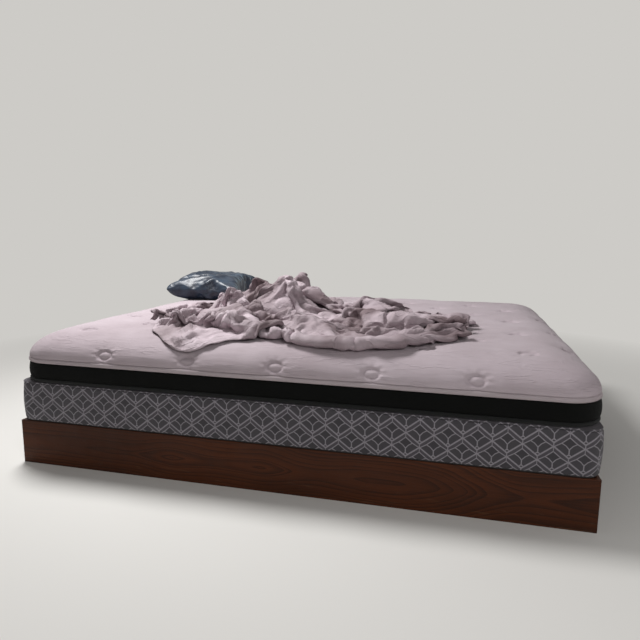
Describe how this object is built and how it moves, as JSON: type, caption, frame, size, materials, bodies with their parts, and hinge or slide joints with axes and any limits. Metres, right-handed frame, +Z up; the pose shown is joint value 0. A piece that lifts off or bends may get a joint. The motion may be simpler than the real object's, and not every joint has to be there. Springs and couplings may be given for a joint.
{
  "type": "trailer bed with storage plinth, foundation and mattress",
  "caption": "Low trailer bed: oak-faced storage plinth, hinged plywood deck, cloth-covered foundation, tufted mattress with black border, rumpled sheet and a small pillow.",
  "frame": {"origin": "on the floor, under the middle of the bed", "axes": "+X along the bed, +Z up, -Y towards the aisle that the picture looks from"},
  "size_m": [1.88, 1.524, 0.6343],
  "materials": {
    "oak_face": "satin clear coat on oak-grained board",
    "pine": "sawn and planed, bare",
    "plywood": "bare sheathing plywood",
    "hinge_steel": "zinc plated",
    "dust_cloth": "thin non-woven cloth",
    "lattice_cloth": "woven cloth, slate grey with a pale lattice",
    "plain_cloth": "plain woven cloth",
    "black_cloth": "smooth knitted border cloth",
    "white_knit": "soft stretch knit over foam",
    "sheet_cloth": "thin sateen, rumpled",
    "navy_cloth": "satin cloth, crumpled"
  },
  "bodies": {
    "plinth": {"panel_front": "oak_face", "panel_left": "oak_face", "panel_right": "oak_face", "floor_plates_long": "pine", "floor_plates_short": "pine", "top_rails_long": "pine", "top_rails_short": "pine", "studs": "pine", "bay_dividers": "plywood", "hinge_leaves_fixed": "hinge_steel", "hinge_pins": "hinge_steel"},
    "deck": {"deck_panel": "plywood", "deck_battens": "pine", "hinge_leaves_moving": "hinge_steel", "foundation_dust_cover": "dust_cloth", "foundation_border": "lattice_cloth", "foundation_top_cloth": "plain_cloth", "mattress_underside": "dust_cloth", "mattress_tape": "black_cloth", "mattress_border": "black_cloth", "mattress_flange": "white_knit", "mattress_top": "white_knit", "sheet_heap": "sheet_cloth", "pillow": "navy_cloth"}
  },
  "joints": [
    {"name": "deck_lift", "type": "hinge", "parent": "plinth", "child": "deck", "pos_m": [0, 0.745, 0.143], "axis": [-1, 0, 0], "range_deg": [0, 32]}
  ]
}
